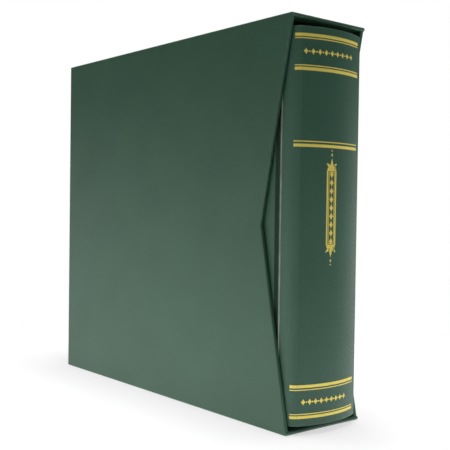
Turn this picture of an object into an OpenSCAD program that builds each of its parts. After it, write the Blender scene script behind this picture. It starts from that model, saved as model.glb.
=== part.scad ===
// Stamp album with steel-hinged covers and a three-ring mechanism, standing in its
// open slipcase. Millimetres. X runs across the spine, Y from the mouth of the case
// towards its back, Z is up. The case stands on Z = 0 and the whole object's box is
// centred on the Z axis. Places along Y are given as depths behind the case's mouth.

/* [Leaves] */
// Width of one album leaf, from its punched edge to its fore edge
leaf_w = 254; // [200:1:310]
// Height of one album leaf
leaf_h = 292; // [280:1:360]
// Thickness of one packet of leaves
packet_t = 3.6; // [2:0.1:4.4]
// Thickness of the interleaf between two packets
interleaf_t = 0.5; // [0.2:0.1:0.8]
// Number of packets on the rings
packet_count = 4; // [2:1:4]
// Radius of the punched holes
hole_r = 4; // [3.6:0.1:5]
// Distance from the punched edge to the hole centres
hole_inset = 9.5; // [7:0.5:14]

/* [Covers and spine] */
// Thickness of the closed album, over both covers
album_w = 71.9; // [68:0.1:90]
// Overhang of the covers beyond the leaves at head and foot
cover_square = 4.25; // [2:0.25:10]
// Overhang of the covers beyond the leaves at the fore edge
fore_margin = 20; // [6:1:40]
// Thickness of the cover boards
cover_board_t = 2.2; // [1.6:0.1:3]
// Thickness of the leatherette on covers and spine
leatherette_t = 0.6; // [0.3:0.1:0.8]
// Thickness of the paper lining inside the covers
endpaper_t = 0.4; // [0.2:0.1:0.8]
// Width of the turned-in leatherette inside the covers
cover_turn_in = 8; // [5:1:15]
// Corner radius of the covers, seen from the side
cover_corner_r = 2; // [1:0.5:6]
// Rounding of the covers' outer edges
cover_edge_r = 1; // [0.5:0.1:1.5]
// How far the spine bulges out of the case's mouth
spine_proud = 9.3; // [7.6:0.1:11]
// How far the spine's curve rises over the album's thickness
spine_bulge = 9.3; // [7:0.1:12]
// Radius where the curve turns into the spine's sides
spine_corner_r = 10; // [4:0.5:11]
// How much the spine is shorter than the covers at each end
spine_short = 1; // [0.5:0.5:4]

/* [Steel hinges] */
// Depth of the hinge pins behind the mouth
hinge_depth = 13.7; // [11.5:0.1:15]
// Outer radius of the hinge knuckles
knuckle_r = 1.1; // [0.9:0.05:1.4]
// Radius of the hinge pins
hinge_pin_r = 0.6; // [0.4:0.05:0.8]
// Thickness of the hinge leaves
hinge_leaf_t = 0.7; // [0.5:0.1:0.9]
// Number of knuckles along each hinge, an odd number
knuckle_count = 13; // [5:2:21]
// Width of the bending groove between hinge and board
hinge_groove = 5.6; // [4:0.2:9]
// Length of hinge leaf held inside a cover board
leaf_grip = 12; // [6:1:20]
// Running clearance of the hinge parts
hinge_fit = 0.2; // [0.15:0.05:0.3]

/* [Ring mechanism] */
// Spacing of the three rings
ring_spacing = 108; // [80:1:112]
// Radius of the rings' centre line
ring_r = 22.5; // [18:0.5:24]
// Radius of the ring wire
wire_r = 1.8; // [1.4:0.1:2]
// Radius of the bend between a ring and its stem
ring_bend_r = 3; // [2.4:0.1:3.4]
// Height of the rings' inner half above the rails' axes
ring_lift = 2.5; // [2:0.1:4]
// Depth of the mounting channel's inner face behind the mouth
ring_seat_depth = 10.2; // [9.5:0.1:12]
// Height of the rails' axes above the mounting channel
rail_rise = 2.7; // [2.5:0.1:3]
// Half distance between the rails' axes
rail_axis_x = 11; // [10:0.5:12]
// Thickness of the rails
rail_t = 1; // [0.8:0.1:1.2]
// Radius of the bead along each rail's outer edge
rail_bead_r = 0.7; // [0.6:0.05:0.8]
// Tilt of the closed rails, in degrees
rail_tilt = 6; // [5:0.5:7]
// Distance of the ring stems from the rails' axes
stem_inset = 3; // [2.5:0.5:4]
// Half width of the arched ring plate
arch_half = 16; // [15:0.5:18]
// Rise of the arched ring plate
arch_rise = 8.5; // [8.5:0.5:10]
// Thickness of the steel in ring plate and mounting channel
plate_t = 1; // [0.8:0.1:1.2]
// Distance of the levers' axes beyond the outer rings
lever_offset = 20; // [12:1:24]
// Height of the levers' axes above the mounting channel
lever_rise = 3; // [3:0.1:3.4]
// Outer radius of the levers' hubs
lever_hub_r = 2.2; // [2:0.1:2.3]
// Radius of the lever pins
lever_pin_r = 1; // [0.8:0.1:1.2]
// Width of the levers
lever_w = 16; // [12:1:18]
// Thickness of the levers' sheet steel
lever_t = 1.4; // [1:0.1:1.6]
// Height of the levers' finger tabs
lever_tab_h = 15; // [10:1:18]
// How far the finger tabs lean outwards
lever_lean = 4; // [2:0.5:5]
// Radius of the rivet shanks
rivet_r = 2.2; // [1.8:0.1:2.5]

/* [Slipcase] */
// Thickness of the slipcase boards
case_board_t = 2.3; // [1.6:0.1:4]
// Thickness of the leatherette on the slipcase
case_leatherette_t = 0.5; // [0.3:0.1:0.8]
// Thickness of the lining paper
case_lining_t = 0.3; // [0.2:0.1:0.5]
// Width of the turned-in leatherette inside the mouth
case_turn_in = 12; // [6:1:20]
// Depth of the V-shaped thumb cut at half height
thumb_cut = 31.2; // [15:0.2:60]
// Depth of the side panels' front edge at head and foot
side_setback = 0.8; // [0.4:0.2:8]
// Rounding of the slipcase's outer edges
case_edge_r = 1; // [0.5:0.1:1.6]
// Clearance at each side of the album
side_fit = 0.4; // [0.3:0.1:1]
// Clearance under the album
foot_fit = 0.3; // [0.2:0.1:0.6]
// Clearance above the album
head_fit = 3; // [0.5:0.5:6]
// Clearance between the covers and the back panel
fore_fit = 0.5; // [0.3:0.1:3]

/* [Hidden] */

// Fineness of round faces, and the overshoot of cutting tools
$fn = 96;
cut = 1;
tiny = 0.05;

// Slipcase walls and the album's height in them
case_t = case_board_t + case_leatherette_t + case_lining_t;
case_w = album_w + 2 * (side_fit + case_t);
cover_h = leaf_h + 2 * cover_square;
cover_z0 = case_t + foot_fit;
cover_z1 = cover_z0 + cover_h;
case_h = cover_z1 + head_fit + case_t;
mid_z = (cover_z0 + cover_z1) / 2;
case_mid_z = case_h / 2;
side_board_step = case_t / 3;
slab_ease = 0.03;
min_round = 0.1;

// Ring mechanism, as depths behind the mouth
ring_rise = ring_r + ring_lift;
rail_depth = ring_seat_depth + rail_rise;
ring_depth = rail_depth + ring_rise;
arch_r = (arch_half * arch_half + arch_rise * arch_rise) / (2 * arch_rise);
arch_top = ring_seat_depth + arch_rise;
arch_depth = arch_top - arch_r;
rail_gap = 0.15;
ring_gap = 0.2;
bead_fit = 0.15;
stem_shoulder = 0.6;
tenon_r = wire_r - stem_shoulder;
wire_step = 0.06;
wire_lap = 0.3;

// Slots that let the ring stems swing outwards
slot_fit = 0.6;
slot_half_w = wire_r + slot_fit;
slot_in = rail_axis_x - stem_inset - wire_r - 2 * slot_fit;
slot_out = rail_axis_x + 1;

// Rivets half way between the rings
rivet_offset = ring_spacing / 2;
rivet_head_t = 0.8;
rivet_head_r = rivet_r + 1;
rivet_dome_t = 1.3;
rivet_dome_r = rivet_r + 1.4;
rivet_clear = 1;

// Levers, pinned between the ring plate's ends
lever_reach = ring_spacing + lever_offset;
lever_depth = ring_seat_depth + lever_rise;
lever_fit = 1;
lever_pin_fit = 0.15;
lever_corner_r = 3.5;
lever_window = 4;
plate_half_l = lever_reach + lever_window;
rail_lever_gap = 0.6;
rail_half_l = lever_reach - lever_hub_r - rail_lever_gap;
tab_foot = [1.6, 5];
tab_tip = [lever_tab_h, tab_foot[1] + lever_lean];
tongue_l = 3.6;
tongue_w = 5;
tongue_fit = 0.2;
tongue_t = lever_rise - lever_hub_r - tongue_fit;

// The leaf block, seated on the far side of the rings
block_half = (packet_count * packet_t + (packet_count - 1) * interleaf_t) / 2;
leaf_seat = 0.3;
hole_depth = ring_depth + sqrt(ring_r * ring_r - block_half * block_half)
    - wire_r - leaf_seat + hole_r;
leaf_depth = hole_depth - hole_inset;
leaf_z0 = mid_z - leaf_h / 2;

// Covers, hinges and spine, as depths behind the mouth
cover_t = leatherette_t + cover_board_t + endpaper_t;
board_depth = hinge_depth + hinge_groove;
cover_end_depth = leaf_depth + leaf_w + fore_margin;
case_d = cover_end_depth + fore_fit + case_t;
lining_half = case_w / 2 - case_t + case_lining_t;
lining_back = case_d - case_t + case_lining_t;
hinge_x = album_w / 2 - knuckle_r;
leaf_in_x = album_w / 2 - 2 * knuckle_r;
leaf_out_x = leaf_in_x + hinge_leaf_t;
cover_leaf_depth = hinge_depth + knuckle_r + hinge_fit;
shell_t = album_w / 2 - leaf_out_x - leatherette_t;
spine_z0 = cover_z0 + spine_short;
spine_z1 = cover_z1 - spine_short;
spine_r = (pow(album_w / 2, 2) + pow(spine_bulge, 2)) / (2 * spine_bulge);
spine_axis_depth = spine_r - spine_proud;
corner_x = album_w / 2 - spine_corner_r;
corner_depth = spine_axis_depth - sqrt(pow(spine_r - spine_corner_r, 2) - corner_x * corner_x);
corner_angle = atan2(corner_x, spine_axis_depth - corner_depth);
corner_ease = 0.05;
far = 4 * spine_corner_r;
flange_depth = hinge_depth - knuckle_r - hinge_fit;
channel_back = corner_depth + hinge_fit;

// Mouth of the case, so that case and spine together are centred on Y = 0
mouth_y = (spine_proud - case_d) / 2;

green = [0.18, 0.29, 0.25];
dark_green = [0.13, 0.22, 0.19];
steel = [0.75, 0.76, 0.78];
greyboard = [0.55, 0.52, 0.46];
paper = [0.93, 0.91, 0.85];

// A box from one corner to the other, its depths measured from the mouth
module span(x0, x1, d0, d1, z0, z1) {
    translate([x0, mouth_y + d0, z0]) cube([x1 - x0, d1 - d0, z1 - z0]);
}

// Mirrors its child to the back cover's side when side is -1
module on_side(side) {
    mirror([side < 0 ? 1 : 0, 0, 0]) children();
}

module rounded_rect(w, h, r) {
    translate([r, 0]) square([w - 2 * r, h]);
    translate([0, r]) square([w, h - 2 * r]);
    for (x = [r, w - r], y = [r, h - r]) translate([x, y]) circle(r);
}

// A child outline drawn in depth and height, extruded across from x0 to x1
module across(x0, x1) {
    translate([x0, mouth_y, 0]) rotate([90, 0, 90]) linear_extrude(x1 - x0) children();
}

// A round bar that runs back from one depth to another
module along_y(x, d0, d1, z, r) {
    translate([x, mouth_y + d0, z]) rotate([-90, 0, 0]) cylinder(h = d1 - d0, r = r);
}

// A round bar between two points
module bar(p, q, r) {
    v = q - p;
    l = norm(v);
    translate(p) rotate([0, acos(v[2] / l), atan2(v[1], v[0])]) cylinder(h = l, r = r);
}

// ---- Slipcase -------------------------------------------------------------

// The slipcase's whole outer form, drawn in by a given amount
module case_envelope(inset) {
    w = case_w - 2 * inset;
    d = case_d - 2 * inset;
    h = case_h - 2 * inset;
    r = max(case_edge_r - inset, min_round);
    intersection() {
        translate([-w / 2, mouth_y + case_d - inset, inset]) rotate([90, 0, 0])
            linear_extrude(d) rounded_rect(w, h, r);
        translate([-w / 2, mouth_y + inset - cut, inset])
            linear_extrude(h) rounded_rect(w, d + cut, r);
        across(-w / 2, w / 2) translate([inset - cut, inset]) rounded_rect(d + cut, h, r);
    }
}

// A head or foot panel lying from z0 to z1, with its mouth edge rounded
module flat_panel(inset, z0, z1) {
    nose = (z1 - z0) / 2;
    w = case_w - 2 * inset;
    intersection() {
        case_envelope(inset);
        union() {
            span(-w / 2, w / 2, inset + nose, case_d - inset, z0, z1);
            translate([-w / 2, mouth_y + inset + nose, z0 + nose])
                rotate([0, 90, 0]) cylinder(h = w, r = nose);
        }
    }
}

// Outline of a side panel, in depth and height, its front edge moved back by a step
module side_outline(step, z0, z1, back) {
    polygon([
        [side_setback + step, z0],
        [thumb_cut + step, case_mid_z],
        [side_setback + step, z1],
        [back, z1],
        [back, z0]
    ]);
}

// A side panel's form at +X: a slab behind each half of the thumb cut, with its two
// corners rounded along the cut. The slabs are a little thicker than the panel, so that
// its faces cut the roundings cleanly.
module side_form() {
    x0 = case_w / 2 - case_t;
    lean = atan2(thumb_cut - side_setback, case_mid_z - case_t);
    intersection() {
        for (end = [-1, 1])
            translate([x0 - slab_ease, mouth_y + thumb_cut, case_mid_z]) rotate([end * lean, 0, 0])
                translate([0, 0, -case_h]) linear_extrude(2 * case_h)
                    rounded_rect(case_t + 2 * slab_ease, case_d, case_edge_r);
        span(x0, x0 + case_t, 0, case_d - case_t, case_t, case_h - case_t);
    }
}

module case_side_lining() {
    across(lining_half - case_lining_t, lining_half)
        side_outline(case_turn_in, case_t, case_h - case_t, case_d - case_t);
}

module case_side_board() {
    across(lining_half, lining_half + case_board_t)
        side_outline(side_board_step, case_t, case_h - case_t, case_d - case_t);
}

module case_side_leatherette() {
    difference() {
        side_form();
        case_side_board();
        case_side_lining();
    }
}

module case_foot_lining() {
    span(-lining_half, lining_half, case_turn_in, lining_back, case_t - case_lining_t, case_t);
}

module case_foot_board() {
    flat_panel(case_leatherette_t, case_leatherette_t, case_t - case_lining_t);
}

module case_foot_leatherette() {
    difference() {
        flat_panel(0, 0, case_t);
        case_foot_board();
        case_foot_lining();
    }
}

// Mirrors a foot piece to the head of the case
module at_head() {
    translate([0, 0, case_h]) mirror([0, 0, 1]) children();
}

module case_back_lining() {
    span(-lining_half, lining_half, case_d - case_t, lining_back, case_t, case_h - case_t);
}

module case_back_core() {
    half = case_w / 2 - case_leatherette_t;
    intersection() {
        case_envelope(case_leatherette_t);
        span(-half, half, lining_back, case_d - case_leatherette_t, case_t, case_h - case_t);
    }
}

module case_left_board() { color(greyboard) on_side(-1) case_side_board(); }
module case_right_board() { color(greyboard) case_side_board(); }
module case_top_board() { color(greyboard) at_head() case_foot_board(); }
module case_bottom_board() { color(greyboard) case_foot_board(); }
module case_back_board() { color(greyboard) case_back_core(); }
module case_left_leatherette() { color(green) on_side(-1) case_side_leatherette(); }
module case_right_leatherette() { color(green) case_side_leatherette(); }
module case_top_leatherette() { color(green) at_head() case_foot_leatherette(); }
module case_bottom_leatherette() { color(green) case_foot_leatherette(); }

module case_back_leatherette() {
    color(green) difference() {
        intersection() {
            case_envelope(0);
            span(-case_w / 2, case_w / 2, case_d - case_t, case_d, case_t, case_h - case_t);
        }
        case_back_core();
        case_back_lining();
    }
}

module case_lining() {
    color(dark_green) {
        case_side_lining();
        on_side(-1) case_side_lining();
        case_foot_lining();
        at_head() case_foot_lining();
        case_back_lining();
    }
}

// ---- Spine ----------------------------------------------------------------

// Section of the spine seen from above, drawn in by a given amount. Each corner's circle
// stands a little proud of the lines that it joins, so that it crosses them cleanly.
module spine_section(inset, back) {
    half = album_w / 2 - inset;
    difference() {
        intersection() {
            translate([0, spine_axis_depth]) circle(spine_r - inset, $fn = 180);
            translate([-half, -spine_proud]) square([2 * half, spine_proud + back]);
        }
        for (side = [-1, 1]) mirror([side < 0 ? 1 : 0, 0]) translate([corner_x, corner_depth])
            difference() {
                polygon([[0, 0], far * [sin(corner_angle), -cos(corner_angle)],
                    far * [1, -1], [far, 0]]);
                circle(spine_corner_r - inset + corner_ease);
            }
    }
}

module spine_layer(inset, thickness, back, z0, z1) {
    translate([0, mouth_y, z0]) linear_extrude(z1 - z0) difference() {
        spine_section(inset, back);
        spine_section(inset + thickness, back + cut);
    }
}

module spine_steel() {
    spine_layer(leatherette_t, shell_t, flange_depth - leatherette_t,
        spine_z0 + leatherette_t, spine_z1 - leatherette_t);
}

module spine_shell() { color(steel) spine_steel(); }

module spine_leatherette() {
    color(green) difference() {
        spine_layer(0, leatherette_t + shell_t, flange_depth, spine_z0, spine_z1);
        spine_steel();
    }
}

// Steel channel inside the spine that the ring plate is riveted to
module mounting_channel() {
    web_depth = ring_seat_depth - plate_t;
    color(steel) difference() {
        span(-leaf_in_x, leaf_in_x, channel_back, ring_seat_depth, leaf_z0, leaf_z0 + leaf_h);
        span(plate_t - leaf_in_x, leaf_in_x - plate_t, channel_back - cut, web_depth, 0, case_h);
        for (z = rivet_zs) along_y(0, web_depth - cut, ring_seat_depth + cut, z, rivet_r);
    }
}

// ---- Hinges ---------------------------------------------------------------

knuckle_pitch = (spine_z1 - spine_z0) / knuckle_count;
function knuckle_z(i) = spine_z0 + i * knuckle_pitch;

// Knuckles number first, first + 2, ... with the tab that ties each to its leaf
module knuckles(first, tab_from, tab_to) {
    for (i = [first : 2 : knuckle_count - 1]) {
        z0 = knuckle_z(i) + hinge_fit / 2;
        z1 = knuckle_z(i + 1) - hinge_fit / 2;
        translate([hinge_x, mouth_y + hinge_depth, z0]) cylinder(h = z1 - z0, r = knuckle_r);
        span(leaf_in_x, leaf_out_x, tab_from, tab_to, z0, z1);
    }
}

module hinge_bore() {
    translate([hinge_x, mouth_y + hinge_depth, spine_z0 - cut])
        cylinder(h = spine_z1 - spine_z0 + 2 * cut, r = hinge_pin_r);
}

module spine_hinge_leaf() {
    color(steel) difference() {
        union() {
            span(leaf_in_x, leaf_out_x, channel_back, flange_depth, spine_z0, spine_z1);
            knuckles(0, flange_depth - cut, hinge_depth);
        }
        hinge_bore();
    }
}

module cover_leaf_plate() {
    span(leaf_in_x, leaf_out_x, cover_leaf_depth, board_depth + leaf_grip, spine_z0, spine_z1);
}

module cover_hinge_leaf() {
    color(steel) difference() {
        union() {
            cover_leaf_plate();
            knuckles(1, hinge_depth, cover_leaf_depth + cut);
        }
        hinge_bore();
    }
}

module hinge_pin() {
    color(steel) translate([hinge_x, mouth_y + hinge_depth, spine_z0])
        cylinder(h = spine_z1 - spine_z0, r = hinge_pin_r);
}

module front_spine_hinge_leaf() { spine_hinge_leaf(); }
module back_spine_hinge_leaf() { on_side(-1) spine_hinge_leaf(); }
module front_cover_hinge_leaf() { cover_hinge_leaf(); }
module back_cover_hinge_leaf() { on_side(-1) cover_hinge_leaf(); }
module front_hinge_pin() { hinge_pin(); }
module back_hinge_pin() { on_side(-1) hinge_pin(); }

// ---- Covers ---------------------------------------------------------------

// A cover with rounded corners, its outer edges eased by cover_edge_r
module cover_form() {
    x0 = album_w / 2 - cover_t;
    l = cover_end_depth - board_depth;
    intersection() {
        across(x0, album_w / 2) translate([board_depth, cover_z0])
            rounded_rect(l, cover_h, cover_corner_r);
        translate([x0 - cut, mouth_y + board_depth, cover_z0 - cut])
            linear_extrude(cover_h + 2 * cut) rounded_rect(cover_t + cut, l, cover_edge_r);
        translate([x0 - cut, mouth_y + cover_end_depth + cut, cover_z0]) rotate([90, 0, 0])
            linear_extrude(l + 2 * cut) rounded_rect(cover_t + cut, cover_h, cover_edge_r);
    }
}

module cover_core() {
    x0 = album_w / 2 - cover_t + endpaper_t;
    difference() {
        across(x0, x0 + cover_board_t)
            translate([board_depth + leatherette_t, cover_z0 + leatherette_t])
            rounded_rect(cover_end_depth - board_depth - 2 * leatherette_t,
                cover_h - 2 * leatherette_t, cover_corner_r - leatherette_t);
        cover_leaf_plate();
    }
}

module cover_paper() {
    x0 = album_w / 2 - cover_t;
    span(x0, x0 + endpaper_t, board_depth + cover_turn_in, cover_end_depth - cover_turn_in,
        cover_z0 + cover_turn_in, cover_z1 - cover_turn_in);
}

module cover_skin() {
    difference() {
        union() {
            cover_form();
            span(leaf_out_x, leaf_out_x + leatherette_t, cover_leaf_depth,
                board_depth + leatherette_t, spine_z0, spine_z1);
        }
        cover_core();
        cover_leaf_plate();
        cover_paper();
    }
}

module front_cover_board() { color(greyboard) cover_core(); }
module back_cover_board() { color(greyboard) on_side(-1) cover_core(); }
module front_cover_leatherette() { color(green) cover_skin(); }
module back_cover_leatherette() { color(green) on_side(-1) cover_skin(); }
module front_endpaper() { color(dark_green) cover_paper(); }
module back_endpaper() { color(dark_green) on_side(-1) cover_paper(); }

// ---- Ring mechanism -------------------------------------------------------

ring_zs = [for (k = [-1, 0, 1]) mid_z + k * ring_spacing];
rivet_zs = [for (end = [-1, 1]) mid_z + end * rivet_offset];

// The arched sheet, before its slots and windows are cut
module arch_sheet() {
    l = 2 * plate_half_l;
    translate([0, mouth_y + arch_depth, mid_z - plate_half_l]) difference() {
        cylinder(h = l, r = arch_r);
        translate([0, 0, -cut]) cylinder(h = l + 2 * cut, r = arch_r - plate_t);
        translate([-arch_r - cut, -arch_r - cut, -cut])
            cube([2 * (arch_r + cut), arch_r + cut + ring_seat_depth - arch_depth, l + 2 * cut]);
    }
}

// Arched plate with lips that hold the rails' beads, slots for the rings,
// and open ends for the levers
module ring_plate() {
    lip_x = rail_axis_x - rail_bead_r;
    lip_top = rail_depth - rail_bead_r - bead_fit;
    window = lever_w / 2 + lever_fit;
    color(steel) difference() {
        union() {
            arch_sheet();
            for (side = [-1, 1]) on_side(side)
                span(lip_x, arch_half - plate_t, ring_seat_depth, lip_top,
                    mid_z - rail_half_l, mid_z + rail_half_l);
        }
        for (side = [-1, 1], z = ring_zs) on_side(side)
            span(slot_in, slot_out, lip_top + tiny, ring_depth, z - slot_half_w, z + slot_half_w);
        for (z = rivet_zs) along_y(0, ring_seat_depth, ring_depth, z, rivet_r);
        for (end = [-1, 1]) {
            axis_z = mid_z + end * lever_reach;
            inner_z = axis_z - end * lever_window;
            outer_z = axis_z + end * (lever_window + cut);
            translate([-arch_r, mouth_y + lever_depth, axis_z])
                rotate([0, 90, 0]) cylinder(h = 2 * arch_r, r = lever_pin_r);
            span(-window, window, lever_depth, ring_depth,
                min(inner_z, outer_z), max(inner_z, outer_z));
        }
    }
}

// A rivet: flat head behind the channel, shank, and a domed head on the arch
module rivet(z) {
    web_depth = ring_seat_depth - plate_t;
    dome_sphere_r = (pow(rivet_dome_r, 2) + pow(rivet_dome_t, 2)) / (2 * rivet_dome_t);
    along_y(0, web_depth - rivet_head_t, web_depth, z, rivet_head_r);
    along_y(0, web_depth - tiny, arch_top + tiny, z, rivet_r);
    intersection() {
        along_y(0, arch_top, arch_top + rivet_dome_t + cut, z, rivet_dome_r + cut);
        translate([0, mouth_y + arch_top + rivet_dome_t - dome_sphere_r, z]) sphere(dome_sphere_r);
    }
}

module rivets() {
    color(steel) for (z = rivet_zs) rivet(z);
}

module lever_pins() {
    pin_half = sqrt(pow(arch_r - plate_t / 2, 2) - pow(lever_depth - arch_depth, 2));
    color(steel) for (end = [-1, 1])
        translate([-pin_half, mouth_y + lever_depth, mid_z + end * lever_reach])
            rotate([0, 90, 0]) cylinder(h = 2 * pin_half, r = lever_pin_r);
}

// Rail at +X, in a frame whose Z axis is the rail's own axis
module rail_frame() {
    translate([rail_axis_x, mouth_y + rail_depth, 0]) rotate([0, 0, rail_tilt]) children();
}

module rail() {
    color(steel) difference() {
        rail_frame() {
            translate([rail_gap - rail_axis_x, -rail_t / 2, mid_z - rail_half_l])
                cube([rail_axis_x - rail_gap, rail_t, 2 * rail_half_l]);
            translate([0, 0, mid_z - rail_half_l]) cylinder(h = 2 * rail_half_l, r = rail_bead_r);
        }
        rail_frame() for (z = ring_zs) translate([-stem_inset, 0, z])
            rotate([90, 0, 0]) cylinder(h = 2 * rail_t, r = tenon_r, center = true);
        for (z = rivet_zs) along_y(0, ring_seat_depth, ring_depth, z, rivet_r + rivet_clear);
    }
}

// Centre line of a half ring's wire, from the ring's centre: up its stem, round a tight
// bend, and out along the ring. Each stretch is a little thicker than the next one, so
// that each starts inside its neighbour.
stem_base = [rail_axis_x - stem_inset * cos(rail_tilt), -ring_rise - stem_inset * sin(rail_tilt)];
stem_dir = [-sin(rail_tilt), cos(rail_tilt)];
bend_from = stem_base + ring_bend_r * [cos(rail_tilt), sin(rail_tilt)];
bend_dot = bend_from * stem_dir;
stem_l = -bend_dot
    - sqrt(bend_dot * bend_dot - bend_from * bend_from + pow(ring_r + ring_bend_r, 2));
bend_centre = bend_from + stem_l * stem_dir;
bend_angle = atan2(bend_centre[1], bend_centre[0]);
tip_angle = 90 - asin(ring_gap / 2 / ring_r);

// An arc of wire about the origin, from one angle to another
module wire_arc(r, wire, from, to) {
    rotate([0, 0, from]) rotate_extrude(angle = to - from) translate([r, 0]) circle(wire);
}

module half_rings() {
    lap = wire_lap * 180 / PI;
    color(steel) for (z = ring_zs) {
        translate([0, mouth_y + ring_depth, z]) {
            wire_arc(ring_r, wire_r, bend_angle - lap / ring_r, tip_angle);
            translate([bend_centre[0], bend_centre[1], 0])
                wire_arc(ring_bend_r, wire_r + wire_step, bend_angle + 180,
                    rail_tilt + 180 + lap / ring_bend_r);
        }
        rail_frame() translate([-stem_inset, 0, z]) rotate([-90, 0, 0]) {
            translate([0, 0, rail_t / 2])
                cylinder(h = stem_l - rail_t / 2, r = wire_r + 2 * wire_step);
            translate([0, 0, -rail_t / 2]) cylinder(h = rail_t + tiny, r = tenon_r);
        }
    }
}

module right_rail() { rail(); }
module left_rail() { on_side(-1) rail(); }
module right_ring_halves() { half_rings(); }
module left_ring_halves() { on_side(-1) half_rings(); }

// A run of the levers' sheet steel between two points of its section, with a round bend
// at its far end
module sheet_run(p, q) {
    half = lever_w / 2;
    side = lever_t / 2 * [p[1] - q[1], q[0] - p[0]] / norm(q - p);
    rotate([90, 0, 90]) translate([0, 0, -half]) linear_extrude(lever_w)
        polygon([p - side, q - side, q + side, p + side]);
    bar([-half, q[0], q[1]], [half, q[0], q[1]], lever_t / 2 + tiny);
}

// Lever for the upper end, drawn about its own axis: hub, tongue under the rails,
// and a bent finger tab with rounded corners
module lever() {
    half = lever_w / 2;
    color(steel) difference() {
        union() {
            rotate([0, 90, 0]) cylinder(h = lever_w, r = lever_hub_r, center = true);
            intersection() {
                union() {
                    sheet_run([lever_hub_r - lever_t, 0], tab_foot);
                    sheet_run(tab_foot, tab_tip);
                }
                translate([-half, -lever_corner_r, 0]) linear_extrude(tab_tip[1] + lever_t)
                    rounded_rect(lever_w, lever_tab_h + lever_corner_r, lever_corner_r);
            }
            translate([-tongue_w / 2, -lever_hub_r - tongue_t, -tongue_l])
                cube([tongue_w, tongue_t + tiny, tongue_l]);
            translate([-tongue_w / 2, -lever_hub_r - tongue_t, -tongue_t])
                cube([tongue_w, lever_hub_r, 2 * tongue_t]);
        }
        rotate([0, 90, 0])
            cylinder(h = lever_w + 2 * cut, r = lever_pin_r + lever_pin_fit, center = true);
    }
}

module top_lever() {
    translate([0, mouth_y + lever_depth, mid_z + lever_reach]) lever();
}

module bottom_lever() {
    translate([0, mouth_y + lever_depth, mid_z - lever_reach]) mirror([0, 0, 1]) lever();
}

// ---- Leaves ---------------------------------------------------------------

function packet_x(i) = -block_half + i * (packet_t + interleaf_t);

// A sheet or packet punched with three holes
module punched(x0, thickness) {
    difference() {
        span(x0, x0 + thickness, leaf_depth, leaf_depth + leaf_w, leaf_z0, leaf_z0 + leaf_h);
        for (z = ring_zs) translate([x0 - cut, mouth_y + hole_depth, z])
            rotate([0, 90, 0]) cylinder(h = thickness + 2 * cut, r = hole_r);
    }
}

module packet(i) {
    if (i < packet_count) color(paper) punched(packet_x(i), packet_t);
}

module interleaf(i) {
    if (i < packet_count - 1)
        color("white") punched(packet_x(i) + packet_t, interleaf_t);
}

module leaf_packet_1() { packet(0); }
module leaf_packet_2() { packet(1); }
module leaf_packet_3() { packet(2); }
module leaf_packet_4() { packet(3); }
module interleaf_1() { interleaf(0); }
module interleaf_2() { interleaf(1); }
module interleaf_3() { interleaf(2); }

case_left_board();
case_right_board();
case_top_board();
case_bottom_board();
case_back_board();
case_left_leatherette();
case_right_leatherette();
case_top_leatherette();
case_bottom_leatherette();
case_back_leatherette();
case_lining();
spine_leatherette();
spine_shell();
mounting_channel();
front_spine_hinge_leaf();
back_spine_hinge_leaf();
front_cover_hinge_leaf();
back_cover_hinge_leaf();
front_hinge_pin();
back_hinge_pin();
front_cover_board();
back_cover_board();
front_cover_leatherette();
back_cover_leatherette();
front_endpaper();
back_endpaper();
ring_plate();
rivets();
lever_pins();
left_rail();
right_rail();
left_ring_halves();
right_ring_halves();
top_lever();
bottom_lever();
leaf_packet_1();
leaf_packet_2();
leaf_packet_3();
leaf_packet_4();
interleaf_1();
interleaf_2();
interleaf_3();
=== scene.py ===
"""Looks of a ring-bound stamp album that stands in its slipcase.

The case and the album are covered in dark green leatherette, the spine carries fillets
and ornaments in gold foil, and the hinges and the ring mechanism are plated steel.
Lengths are in millimetres inside the classes, and in metres in Blender.
"""

import logging
import math
from dataclasses import dataclass, field
from enum import Enum

import bmesh
import bpy
from mathutils import Matrix, Vector
from mathutils.bvhtree import BVHTree


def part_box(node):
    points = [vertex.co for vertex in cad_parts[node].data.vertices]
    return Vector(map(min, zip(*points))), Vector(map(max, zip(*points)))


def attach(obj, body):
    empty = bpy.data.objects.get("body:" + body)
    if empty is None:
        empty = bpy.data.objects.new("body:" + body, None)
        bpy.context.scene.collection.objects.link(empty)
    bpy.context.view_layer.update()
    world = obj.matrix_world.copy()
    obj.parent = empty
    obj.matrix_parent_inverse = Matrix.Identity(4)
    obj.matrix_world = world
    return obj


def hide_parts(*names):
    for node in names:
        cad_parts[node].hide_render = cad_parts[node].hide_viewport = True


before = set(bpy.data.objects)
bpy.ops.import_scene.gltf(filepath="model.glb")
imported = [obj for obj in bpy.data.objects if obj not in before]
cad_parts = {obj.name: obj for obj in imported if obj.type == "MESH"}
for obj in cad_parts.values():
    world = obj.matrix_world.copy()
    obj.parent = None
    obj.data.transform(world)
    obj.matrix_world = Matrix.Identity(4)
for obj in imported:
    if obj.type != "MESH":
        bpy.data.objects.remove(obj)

MM = 0.001
# Faces that meet at this angle or more, in degrees, keep a sharp edge between them.
SHARP_DEG = 35.0
# Settings of nodes that multiply, ease between two levels and mix two colours.
MULTIPLY = {"operation": "MULTIPLY"}
SMOOTHLY = {"interpolation_type": "SMOOTHSTEP"}
COLOURS = {"data_type": "RGBA"}
VINYL_IOR = 1.5
PAPER_IOR = 1.47
GLASSINE_IOR = 1.5
log = logging.getLogger("stamp_album")


def linear(colour: str) -> tuple[float, float, float, float]:
    """Turns an sRGB hex colour into linear values.

    Args:
        colour: six hex digits after a hash, such as "#375949".

    Returns:
        Linear red, green and blue, and an alpha of 1.
    """
    parts = [int(colour[i : i + 2], 16) / 255 for i in (1, 3, 5)]
    r, g, b = [p / 12.92 if p <= 0.04045 else ((p + 0.055) / 1.055) ** 2.4 for p in parts]
    return (r, g, b, 1.0)


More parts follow.
